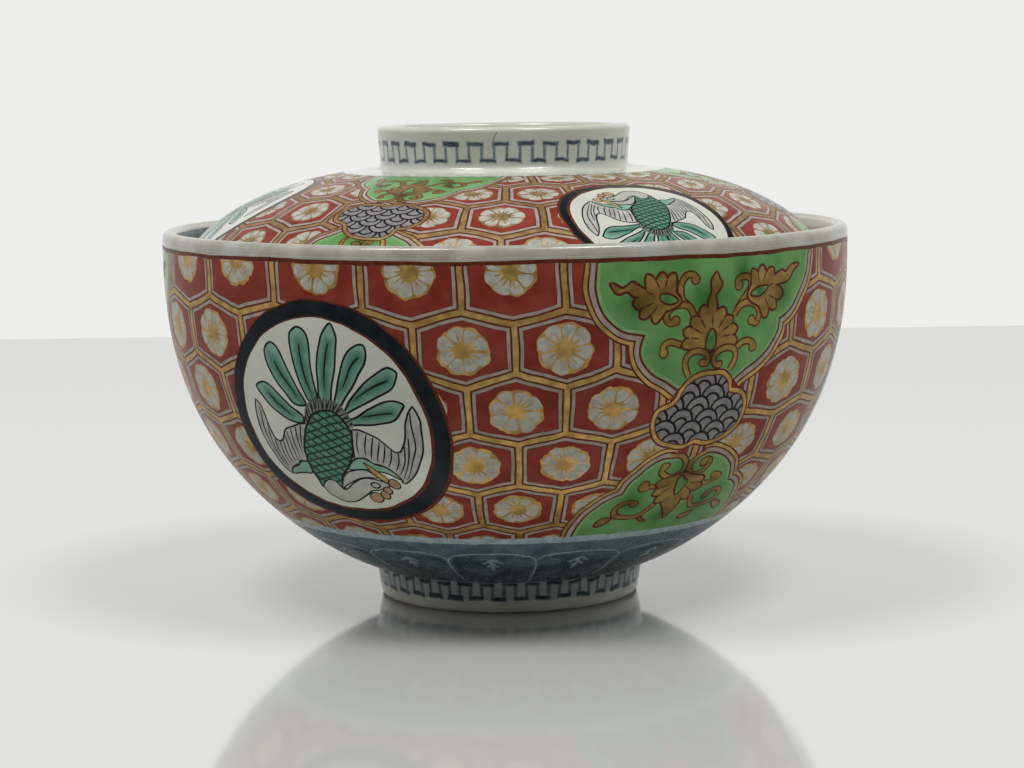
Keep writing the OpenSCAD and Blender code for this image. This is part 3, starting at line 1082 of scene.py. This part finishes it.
def lappets(sheet, top, bottom, count, first):
    """Long petals round the foot, each with a small pale spray."""
    ratio = float(sheet.turned.radius(bottom)) / float(sheet.turned.radius(top))
    length = bottom - top
    half = float(sheet.turned.radius(top)) * math.pi / count
    for k in range(count):
        spot = Spot(sheet, first + 360 * (k + 0.5) / count, top)
        for paint, inset in LAPPET_LAYERS:
            w = half - inset
            shoulder = (w * LAPPET_SHOULDER[0], -LAPPET_SHOULDER[1])
            tip = (w * LAPPET_TIP[0], -LAPPET_TIP[1] - inset)
            side = [(0, -inset), tip, shoulder, (w * ratio, -length)]
            outline = [(-x, y) for x, y in side[:0:-1]] + side
            spot.fill(paint, smooth(outline, closed=False))
        slips = [np.array([RNG.uniform(-SPRAY_SLIP, SPRAY_SLIP), 0]) for _ in SPRAY]
        for paint, width in SPRAY_LAYERS:
            for slip, points in zip(slips, SPRAY):
                spot.stroke(paint, smooth(points + slip, closed=False, steps=2), width, taper=True)


# The two painted pieces

# Where each piece is painted, as walks, and the places of its roundels and panels: angle and walk
BOWL_SHEET = (2.4, 77.6)
LID_SHEET = (1.0, 45.0)
LID_PAINT_END = 32.6
BOWL_MEDALS = ((-30.7, 28.4), (94.0, 28.0), (211.6, 28.4))
BOWL_PANELS = ((33.4, 26.9), (152.8, 26.9), (-95.1, 26.9))
LID_MEDALS = ((29.3, 11.0), (147.0, 11.0), (-79.0, 14.5))
LID_PANELS = ((-26.0, 13.0), (83.0, 13.0), (214.0, 13.0))
LID_MEDAL_SCALE = (0.725, 0.70)
LID_MEDAL_OPENING = 1.05
LID_PANEL_SCALE = (0.75, 0.74)
LID_CARTOUCHE_SCALE = (0.89, 0.77)
# Sizes in mm of what hides a cell, less a margin for the cell's own size, and the lid's scale
MEDAL_R = 20
PANEL_HALF = 12
PANEL_RISE = 14
MEDAL_MARGIN = 10
PANEL_MARGIN = 4
LID_COVER = 0.74
# The cells' zigzag lines as walks of their corners, and how the cells lean and drift
BOWL_LINES = ((-3.4, -1.3), (10.4, 12.5), (19.9, 22.35), (30, 31.8), (39.7, 41.5), (48.9, 51), (58, 60))
LID_LINES = ((0.4, 2.3), (8.9, 10.8), (17.4, 19.2), (25.5, 27.3), (33.6, 35.4))
BOWL_LEAN = (0.9, 0.03)
LID_LEAN = (6.6, 0.07)
BOWL_DRIFTS = ((1.3, 0.75, 0.092, -2.5), (-1.1, 0.5, -0.02, -1.0))
LID_DRIFTS = ((0.95, 0.3, 0.05, 1.6), (-0.95, 0.5, 0.03, 1.3))
# Bands right round: paint, upper and lower walk, and how much their edges waver
BOWL_GROUND = ("gold", 3.0, 53.4)
LID_GROUND = ("gold", LID_SHEET[0], LID_PAINT_END)
BOWL_BANDS = (
    ("lip", BOWL_SHEET[0], 3.0, 0.09), ("brown", 2.85, 3.5, 0.09),
    ("blue_pale", 52.7, 54.5, 0.06), ("blue", 54.4, 72.9),
)
FOOT_BANDS = (("foot_wash", 72.9, 76.1, 0.08), ("foot_glaze", 76.1, BOWL_SHEET[1]))
LID_BANDS = (
    ("blue", LID_PAINT_END - 0.2, LID_PAINT_END + 0.15, 0.05),
    ("glaze", LID_PAINT_END + 0.15, LID_SHEET[1]),
)
LAPPETS = {"top": 57.4, "bottom": 72.6, "count": 15, "first": 7.3}
BOWL_FRET = {"walk": 74.5, "rise": 2.4, "count": 38, "first": 0.0, "heavy": (0.6, 0.7), "thin": 0.42}
LID_FRET = {"walk": 41.6, "rise": 2.75, "count": 32, "first": 4.3, "heavy": (0.46, 0.62), "thin": 0.27}
HAIRLINE = ((-0.5, 1.3), (-0.2, 0.6), (-0.1, -0.4), (0.5, -1.5))
HAIRLINE_PLACE = (-3.8, 43.6)
HAIRLINE_WIDTH = 0.15


def apart(angle, centre):
    """How far apart two turns are, in radians from two angles in degrees."""
    return abs(math.radians((angle - centre + 180) % 360 - 180))


def covered(turned, medals, panel_places, scale):
    """A test for cells that lie wholly under a roundel or a panel."""
    medal_r = MEDAL_R * scale - MEDAL_MARGIN
    half, rise = PANEL_HALF * scale - PANEL_MARGIN, PANEL_RISE * scale

    def hidden(angle, walk):
        radius = float(turned.radius(max(walk, 0)))
        for centre, middle in medals:
            if math.hypot(apart(angle, centre) * radius, walk - middle) < medal_r:
                return True
        for centre, middle in panel_places:
            if apart(angle, centre) * radius < half and abs(walk - middle) > rise:
                return True
        return False

    return hidden


def paint_bowl(turned):
    sheet = Sheet(turned, *BOWL_SHEET, RIM_R)
    sheet.band(*BOWL_GROUND)
    kikko(sheet, BOWL_LINES, BOWL_LEAN, BOWL_DRIFTS, covered(turned, BOWL_MEDALS, BOWL_PANELS, 1.0))
    for place in BOWL_PANELS:
        panels(Spot(sheet, *place), Spot(sheet, *place))
    for place in BOWL_MEDALS:
        medallion(Spot(sheet, *place))
    for band in BOWL_BANDS:
        sheet.band(*band)
    lappets(sheet, **LAPPETS)
    for band in FOOT_BANDS:
        sheet.band(*band)
    fret(sheet, **BOWL_FRET)
    return sheet


def paint_lid(turned):
    sheet = Sheet(turned, *LID_SHEET, LID_R, "worn_gold")
    sheet.band(*LID_GROUND)
    kikko(sheet, LID_LINES, LID_LEAN, LID_DRIFTS, covered(turned, LID_MEDALS, LID_PANELS, LID_COVER))
    for place in LID_PANELS:
        panels(Spot(sheet, *place, LID_PANEL_SCALE), Spot(sheet, *place, LID_CARTOUCHE_SCALE))
    for place in LID_MEDALS:
        medallion(Spot(sheet, *place, LID_MEDAL_SCALE, -1), LID_MEDAL_OPENING)
    for band in LID_BANDS:
        sheet.band(*band)
    fret(sheet, **LID_FRET)
    Spot(sheet, *HAIRLINE_PLACE).stroke("ruff", HAIRLINE, HAIRLINE_WIDTH)
    return sheet


# Materials


def linear(colour):
    """A display colour, 0 to 255, as the linear values that a shader takes, by the sRGB formula."""
    values = (((c / 255 + 0.055) / 1.055) ** 2.4 if c > 10 else c / 255 / 12.92 for c in colour)
    return (*values, 1.0)


GLAZED = (
    "glaze", "foot_glaze", "foot_wash", "fret", "fret_soft", "fret_halo", "worn", "field", "plume",
    "lip", "blue", "blue_dark", "blue_pale",
)
GLAZE_GLOSS, ENAMEL_GLOSS = 0.5, 0.08
MOTTLE_DETAIL = 4.0
BRUSH_DETAIL = 3.0
BRUSH_SIZE = 0.9
ROUGHNESS_VARY = (0.8, 1.25)
# For each paint: its tone where it lies deep, two tones that it mottles between, the size of its
# mottling in mm, its roughness, its metal, and the height of its brush marks in mm
PAINTS = {
    # The plain glaze has darker tones than the field, though both are the same white glaze: painted
    # shade.
    "glaze": ((180, 184, 176), (192, 194, 182), (203, 205, 194), 9.0, 0.12, 0.0, 0.004),
    "lip": ((150, 143, 125), (160, 156, 142), (180, 180, 172), 4.0, 0.16, 0.0, 0.01),
    "gold": ((123, 95, 48), (153, 122, 68), (198, 161, 97), 1.8, 0.36, 0.55, 0.03),
    "worn_gold": ((112, 90, 54), (138, 113, 73), (168, 140, 98), 1.8, 0.42, 0.45, 0.03),
    "scroll": ((100, 78, 36), (128, 101, 54), (165, 135, 78), 1.8, 0.36, 0.55, 0.03),
    "brown": ((62, 27, 17), (82, 37, 24), (104, 51, 35), 1.2, 0.30, 0.0, 0.02),
    "pale": ((136, 122, 114), (150, 137, 129), (172, 159, 151), 1.6, 0.24, 0.0, 0.02),
    "red": ((110, 38, 29), (124, 47, 37), (143, 62, 50), 4.0, 0.24, 0.0, 0.012),
    "petal": ((150, 147, 134), (163, 160, 147), (188, 186, 174), 1.2, 0.22, 0.0, 0.02),
    "green": ((51, 106, 47), (91, 142, 78), (114, 161, 101), 5.0, 0.16, 0.0, 0.012),
    "green_thin": ((104, 147, 87), (117, 159, 100), (138, 173, 123), 2.0, 0.16, 0.0, 0.012),
    "navy": ((12, 17, 22), (17, 23, 28), (29, 36, 42), 3.0, 0.18, 0.0, 0.012),
    "field": ((187, 187, 175), (199, 200, 187), (209, 210, 197), 8.0, 0.14, 0.0, 0.005),
    "feather": ((60, 115, 93), (115, 158, 137), (139, 176, 158), 2.2, 0.16, 0.0, 0.012),
    "body": ((59, 103, 83), (80, 126, 106), (97, 143, 122), 1.4, 0.16, 0.0, 0.012),
    "hatch": ((26, 44, 36), (32, 52, 44), (44, 66, 56), 1.0, 0.20, 0.0, 0.01),
    "wing": ((144, 143, 137), (160, 159, 153), (188, 187, 179), 1.4, 0.20, 0.0, 0.012),
    "ruff": ((96, 106, 96), (106, 116, 106), (126, 136, 124), 1.2, 0.20, 0.0, 0.012),
    "plume": ((153, 153, 143), (164, 164, 155), (182, 182, 172), 1.8, 0.16, 0.0, 0.01),
    "ink": ((14, 15, 15), (20, 21, 21), (38, 39, 38), 0.8, 0.24, 0.0, 0.015),
    "orange": ((144, 109, 84), (158, 121, 94), (180, 148, 120), 1.0, 0.20, 0.0, 0.012),
    "yellow": ((160, 126, 58), (175, 140, 70), (196, 165, 98), 1.0, 0.20, 0.0, 0.012),
    "slate": ((106, 104, 106), (121, 118, 120), (146, 143, 144), 1.2, 0.22, 0.0, 0.012),
    "blue": ((54, 73, 84), (74, 94, 105), (102, 122, 132), 3.0, 0.28, 0.0, 0.004),
    "blue_dark": ((34, 52, 58), (46, 66, 72), (94, 116, 122), 3.4, 0.28, 0.0, 0.004),
    "blue_pale": ((124, 145, 153), (145, 165, 173), (173, 190, 195), 1.8, 0.28, 0.0, 0.004),
    "foot_wash": ((150, 162, 163), (168, 178, 177), (190, 196, 191), 2.0, 0.20, 0.0, 0.004),
    "foot_glaze": ((200, 198, 183), (212, 211, 197), (222, 222, 210), 4.0, 0.16, 0.0, 0.006),
    "fret": ((30, 39, 47), (42, 52, 61), (78, 90, 98), 1.1, 0.20, 0.0, 0.004),
    "fret_soft": ((78, 90, 98), (94, 107, 114), (128, 139, 143), 1.1, 0.20, 0.0, 0.004),
    "fret_halo": ((142, 150, 148), (156, 162, 158), (178, 182, 176), 1.4, 0.20, 0.0, 0.004),
    "worn": ((170, 156, 130), (184, 174, 152), (204, 200, 186), 1.4, 0.26, 0.0, 0.02),
    # The bare foot's own clay colour, darkened and greyed as painted shade where the foot meets the
    # table.
    "biscuit": ((146, 130, 106), (172, 160, 136), (194, 184, 162), 1.2, 0.62, 0.0, 0.05),
}
PAINT_INDEX = {name: k for k, name in enumerate(PAINTS)}


class Graph:
    """A material's node tree, with short calls to add to it."""

    # The middle of a noise, where two tones blend or a value changes
    BLEND, CHANGE = (0.36, 0.64), (0.3, 0.7)
    # The Mix node's sockets for colours
    MIX_FIRST, MIX_SECOND, MIX_RESULT = 6, 7, 2

    def __init__(self, name):
        self.material = bpy.data.materials.new(name)
        self.material.use_nodes = True
        self.nodes, self.links = self.material.node_tree.nodes, self.material.node_tree.links
        self.shader = self.nodes["Principled BSDF"]
        self.place = self.nodes.new("ShaderNodeTexCoord").outputs["Object"]

    def noise(self, size, detail):
        node = self.nodes.new("ShaderNodeTexNoise")
        node.inputs["Scale"].default_value = 1 / (size * MM)
        node.inputs["Detail"].default_value = detail
        self.links.new(self.place, node.inputs["Vector"])
        return node.outputs["Fac"]

    def ramp(self, source, low, high):
        """Two tones over the middle of a noise."""
        node = self.nodes.new("ShaderNodeValToRGB")
        for element, position, colour in zip(node.color_ramp.elements, self.BLEND, (low, high)):
            element.position, element.color = position, colour
        self.links.new(source, node.inputs["Fac"])
        return node.outputs["Color"]

    def mixed(self, factor, first, colour):
        node = self.nodes.new("ShaderNodeMix")
        node.data_type = "RGBA"
        self.links.new(factor, node.inputs["Factor"])
        self.links.new(first, node.inputs[self.MIX_FIRST])
        node.inputs[self.MIX_SECOND].default_value = colour
        return node.outputs[self.MIX_RESULT]

    def wash(self):
        node = self.nodes.new("ShaderNodeAttribute")
        node.attribute_name = "wash"
        return node.outputs["Fac"]

    def ranged(self, source, low, high):
        node = self.nodes.new("ShaderNodeMapRange")
        node.inputs["From Min"].default_value, node.inputs["From Max"].default_value = self.CHANGE
        node.inputs["To Min"].default_value = low
        node.inputs["To Max"].default_value = high
        self.links.new(source, node.inputs["Value"])
        return node.outputs["Result"]

    def bump(self, source, height):
        node = self.nodes.new("ShaderNodeBump")
        node.inputs["Distance"].default_value = height * MM
        self.links.new(source, node.inputs["Height"])
        self.links.new(node.outputs["Normal"], self.shader.inputs["Normal"])


def paint_material(name):
    deep, dark, light, grain, roughness, metal, relief = PAINTS[name]
    graph = Graph(name)
    sockets = graph.shader.inputs
    mottle = graph.noise(grain, MOTTLE_DETAIL)
    colour = graph.mixed(graph.wash(), graph.ramp(mottle, linear(dark), linear(light)), linear(deep))
    graph.links.new(colour, sockets["Base Color"])
    brush = graph.noise(BRUSH_SIZE, BRUSH_DETAIL)
    rough = graph.ranged(brush, *(roughness * share for share in ROUGHNESS_VARY))
    graph.links.new(rough, sockets["Roughness"])
    sockets["Metallic"].default_value = metal
    sockets["Specular IOR Level"].default_value = GLAZE_GLOSS if name in GLAZED else ENAMEL_GLOSS
    graph.bump(brush, relief)
    return graph.material


MATERIALS = [paint_material(name) for name in PAINTS]


# Meshes

# Waves of the painter's hand, across and along the wall: height in mm, number round the piece,
# radians for each mm along it, and start
ACROSS_WAVES = ((0.08, 21, 0.42, 0.0), (0.06, 54, -0.9, 1.0))
ALONG_WAVES = ((0.08, 33, -0.38, 2.0), (0.05, 69, 0.8, 0.0))
# How far from the wall's ends the waves have their full height, in mm
CALM = 1.5


def unsteady(across, walk, sheet):
    """The small wander of a painter's hand, none at the sheet's ends."""
    turn = across / sheet.reference
    calm = np.clip(np.minimum(walk - sheet.start, sheet.end - walk) / CALM, 0, 1)

    def wander(waves):
        return calm * sum(height * np.sin(a * turn + b * walk + start) for height, a, b, start in waves)

    return across + wander(ACROSS_WAVES), walk + wander(ALONG_WAVES)


class Skin:
    """Patches of a piece's surface, gathered before they are joined into one closed mesh."""

    # Where a sheet's sectors lie in their shares of the bake map: start and size, across and up
    BAKE_ACROSS, BAKE_UP = (0.01, 0.98), (0.34, 0.65)
    SAME_WALK = 0.02
    WELD, SEAM_WELD = 0.0002 * MM, 0.01 * MM

    def __init__(self, turned):
        self.turned = turned
        self.places, self.outs, self.wash = [], [], []
        self.faces, self.paints, self.bake = [], [], []
        self.count = 0

    def add(self, turn, walk, faces, paints, bake, wash):
        place, out = self.turned.points(turn, walk)
        self.places.append(place * MM)
        self.outs.append(out)
        self.faces += [tuple(int(k) + self.count for k in face) for face in faces]
        self.paints.append(paints)
        self.bake += [tuple(bake[k]) for face in faces for k in face]
        self.wash.append(wash)
        self.count += len(turn)

    def add_sheet(self, sheet):
        for index in range(SECTORS):
            flat, faces, paints = sheet.sector(index)
            low, high = sheet.sector_ends(index)
            (left, width), (bottom, height) = self.BAKE_ACROSS, self.BAKE_UP
            u = left + width * (flat[:, 0] - low) / (high - low)
            v = bottom + height * (sheet.end - flat[:, 1]) / (sheet.end - sheet.start)
            across, walk = unsteady(flat[:, 0], flat[:, 1], sheet)
            bake = np.column_stack([(index + u) / SECTORS, v])
            self.add(across / sheet.reference, walk, faces, paints, bake, sheet.wash(flat))

    def add_rings(self, start, end, strips, low, high):
        """A plain turned stretch, between two heights of the bake map.

        Each strip is a walk and the paints up to it, which share the turn.
        """
        walks = self.turned.levels(start, end, PLAIN_STRIDE)
        for level, *_ in strips[:-1]:
            walks = np.sort(np.append(walks[np.abs(walks - level) > self.SAME_WALK], level))
        turns = SEAM + np.linspace(0, 2 * math.pi, TURNS + 1)
        turn, walk = (grid.ravel() for grid in np.meshgrid(turns, walks))
        faces, paints = [], []
        for row in range(len(walks) - 1):
            middle = (walks[row] + walks[row + 1]) / 2
            names = next(names for level, *names in strips if middle < level)
            for k in range(TURNS):
                a = row * (TURNS + 1) + k
                b = a + TURNS + 1
                faces.append((a, b, b + 1, a + 1))
                paints.append(PAINT_INDEX[names[k * len(names) // TURNS]])
        u = (turn - turns[0]) / (2 * math.pi)
        v = low + (high - low) * (walk - start) / (end - start)
        self.add(turn, walk, faces, np.array(paints), np.column_stack([u, v]), np.zeros(len(turn)))

    def object(self, name):
        mesh = bpy.data.meshes.new(name)
        mesh.from_pydata(np.vstack(self.places), [], self.faces)
        for material in MATERIALS:
            mesh.materials.append(material)
        mesh.polygons.foreach_set("material_index", np.concatenate(self.paints).astype(np.int32))
        out = mesh.attributes.new("turned_out", "FLOAT_VECTOR", "POINT")
        out.data.foreach_set("vector", np.vstack(self.outs).astype(np.float32).ravel())
        wash = mesh.attributes.new("wash", "FLOAT", "POINT")
        wash.data.foreach_set("value", np.concatenate(self.wash).astype(np.float32))
        uv = mesh.uv_layers.new(name="OFBake")
        uv.data.foreach_set("uv", np.array(self.bake, np.float32).ravel())
        self.joined(mesh)
        piece = bpy.data.objects.new(name, mesh)
        bpy.context.collection.objects.link(piece)
        return piece

    def joined(self, mesh):
        """Welds the patches, turns every face outwards and shades by the turned outline."""
        work = bmesh.new()
        work.from_mesh(mesh)
        bmesh.ops.remove_doubles(work, verts=work.verts, dist=self.WELD)
        loose = {corner for edge in work.edges if edge.is_boundary for corner in edge.verts}
        bmesh.ops.remove_doubles(work, verts=list(loose), dist=self.SEAM_WELD)
        open_edges = [edge for edge in work.edges if edge.is_boundary]
        slivers = {
            face for open_edge in open_edges for face in open_edge.link_faces
            if any(len(edge.link_faces) > 2 for edge in face.edges)
        }
        bmesh.ops.delete(work, geom=list(slivers), context="FACES")
        bmesh.ops.holes_fill(work, edges=[edge for edge in work.edges if edge.is_boundary], sides=0)
        bmesh.ops.recalc_face_normals(work, faces=work.faces)
        work.to_mesh(mesh)
        work.free()
        out = np.zeros(len(mesh.vertices) * 3, np.float32)
        mesh.attributes["turned_out"].data.foreach_get("vector", out)
        mesh.attributes.remove(mesh.attributes["turned_out"])
        mesh.polygons.foreach_set("use_smooth", np.ones(len(mesh.polygons), bool))
        mesh.normals_split_custom_set_from_vertices(out.reshape(-1, 3).tolist())


# Walks on the bowl where its inner border starts and ends and where its lip starts
BORDER_LOW = -6.5
BORDER_TOP = -1.6
LIP_START = -0.9
# How far past its painted wall the foot is glazed and bare, and the lid's ring is glazed and worn
FOOT_GLAZED = 0.5
FOOT_BARE = 3.6
RING_GLAZED = 0.7
RING_WORN = 1.8
# Heights in the bake map of the plain stretches before and after the painted wall
BOWL_BAKES = ((0.01, 0.24), (0.25, 0.33))
LID_BAKES = ((0.01, 0.2), (0.21, 0.33))


def build_bowl():
    turned = bowl_outline()
    sheet = paint_bowl(turned)
    skin = Skin(turned)
    first, last = turned.walk[0], turned.walk[-1]
    inside = (
        (BORDER_LOW, "glaze"),
        (BORDER_TOP, *("glaze", "blue") * SECTORS),
        (LIP_START, "glaze"),
        (sheet.start, "lip"),
    )
    under = ((sheet.end + FOOT_GLAZED, "foot_glaze"), (sheet.end + FOOT_BARE, "biscuit"), (last, "glaze"))
    skin.add_sheet(sheet)
    skin.add_rings(first, sheet.start, inside, *BOWL_BAKES[0])
    skin.add_rings(sheet.end, last, under, *BOWL_BAKES[1])
    piece = skin.object("painted_bowl")
    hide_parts("bowl")
    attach(piece, "bowl")


def build_lid():
    turned = lid_outline()
    sheet = paint_lid(turned)
    skin = Skin(turned)
    first, last = turned.walk[0], turned.walk[-1]
    ring = ((sheet.end + RING_GLAZED, "glaze"), (sheet.end + RING_WORN, "worn"), (last, "glaze"))
    skin.add_sheet(sheet)
    skin.add_rings(first, sheet.start, ((sheet.start, "glaze"),), *LID_BAKES[0])
    skin.add_rings(sheet.end, last, ring, *LID_BAKES[1])
    piece = skin.object("painted_lid")
    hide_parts("lid")
    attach(piece, "lid")


# Stage, light and camera

WALL = (238, 238, 236)
TABLE = (209, 210, 206)
TABLE_ROUGHNESS, TABLE_COAT = 0.07, 0.5
# How the wall's strength changes along an axis: where the change starts and ends, and the strengths
TENT = (("Y", -0.6, 0.1, 0.16, 1.0), ("Z", 0.35, 0.7, 1.0, 0.2))
LAMPS = (("left", (-0.30, -0.20, 0.80)), ("right", (0.255, -0.245, 0.80)))
LAMP_AIM = (0, 0, 0.04)
LAMP_SIZE = 0.28
LAMP_POWER = 3.6


def build_floor():
    """A pale, polished table that ends in front of a pale wall."""
    graph = Graph("table")
    graph.shader.inputs["Base Color"].default_value = linear(TABLE)
    graph.shader.inputs["Roughness"].default_value = TABLE_ROUGHNESS
    graph.shader.inputs["Coat Weight"].default_value = TABLE_COAT
    graph.shader.inputs["Coat Roughness"].default_value = TABLE_ROUGHNESS
    table = bpy.data.meshes.new("table")
    half, front, back = 1.6, -1.2, 0.45
    corners = [(-half, front, 0), (half, front, 0), (half, back, 0), (-half, back, 0)]
    table.from_pydata(corners, [], [(0, 1, 2, 3)])
    table.materials.append(graph.material)
    top = bpy.data.objects.new("table", table)
    bpy.context.collection.objects.link(top)


def build_world():
    """A pale wall behind and beside the object, a dim ceiling above it and a dark room in front."""
    world = bpy.data.worlds.new("studio")
    bpy.context.scene.world = world
    world.use_nodes = True
    nodes, links = world.node_tree.nodes, world.node_tree.links
    way = nodes.new("ShaderNodeTexCoord")
    axes = nodes.new("ShaderNodeSeparateXYZ")
    links.new(way.outputs["Generated"], axes.inputs["Vector"])
    level = nodes.new("ShaderNodeMath")
    level.operation = "MULTIPLY"
    for slot, (axis, start, end, low, high) in enumerate(TENT):
        fade = nodes.new("ShaderNodeMapRange")
        fade.interpolation_type = "SMOOTHSTEP"
        fade.inputs["From Min"].default_value = start
        fade.inputs["From Max"].default_value = end
        fade.inputs["To Min"].default_value = low
        fade.inputs["To Max"].default_value = high
        links.new(axes.outputs[axis], fade.inputs["Value"])
        links.new(fade.outputs["Result"], level.inputs[slot])
    nodes["Background"].inputs["Color"].default_value = linear(WALL)
    links.new(level.outputs["Value"], nodes["Background"].inputs["Strength"])


def build_lamp(name, place):
    light = bpy.data.lights.new(name, "AREA")
    light.shape = "RECTANGLE"
    light.size, light.size_y = LAMP_SIZE, LAMP_SIZE
    light.energy = LAMP_POWER
    lamp = bpy.data.objects.new(name, light)
    lamp.location = place
    lamp.rotation_euler = (Vector(LAMP_AIM) - Vector(place)).to_track_quat("-Z", "Y").to_euler()
    bpy.context.collection.objects.link(lamp)


def build_camera():
    """The photograph's viewpoint: a little above the lid's ring, tipped slightly."""
    away, height, across = 450.0, 88.4, 0.84
    focal_px, image_w = 2661.0, 1024
    pitch, roll = 6.72, 0.78
    camera = bpy.data.cameras.new("camera")
    camera.sensor_width = 36.0
    camera.lens = focal_px / image_w * camera.sensor_width
    camera.clip_start = 0.01
    body = bpy.data.objects.new("camera", camera)
    tip = Matrix.Rotation(math.radians(90 - pitch), 4, "X")
    turn = tip @ Matrix.Rotation(math.radians(-roll), 4, "Z")
    body.matrix_world = Matrix.Translation(Vector((across, -away, height)) * MM) @ turn
    bpy.context.collection.objects.link(body)
    bpy.context.scene.camera = body


build_bowl()
build_lid()
build_floor()
build_world()
for side, place in LAMPS:
    build_lamp(side, place)
build_camera()
bpy.context.scene.view_settings.view_transform = "Standard"
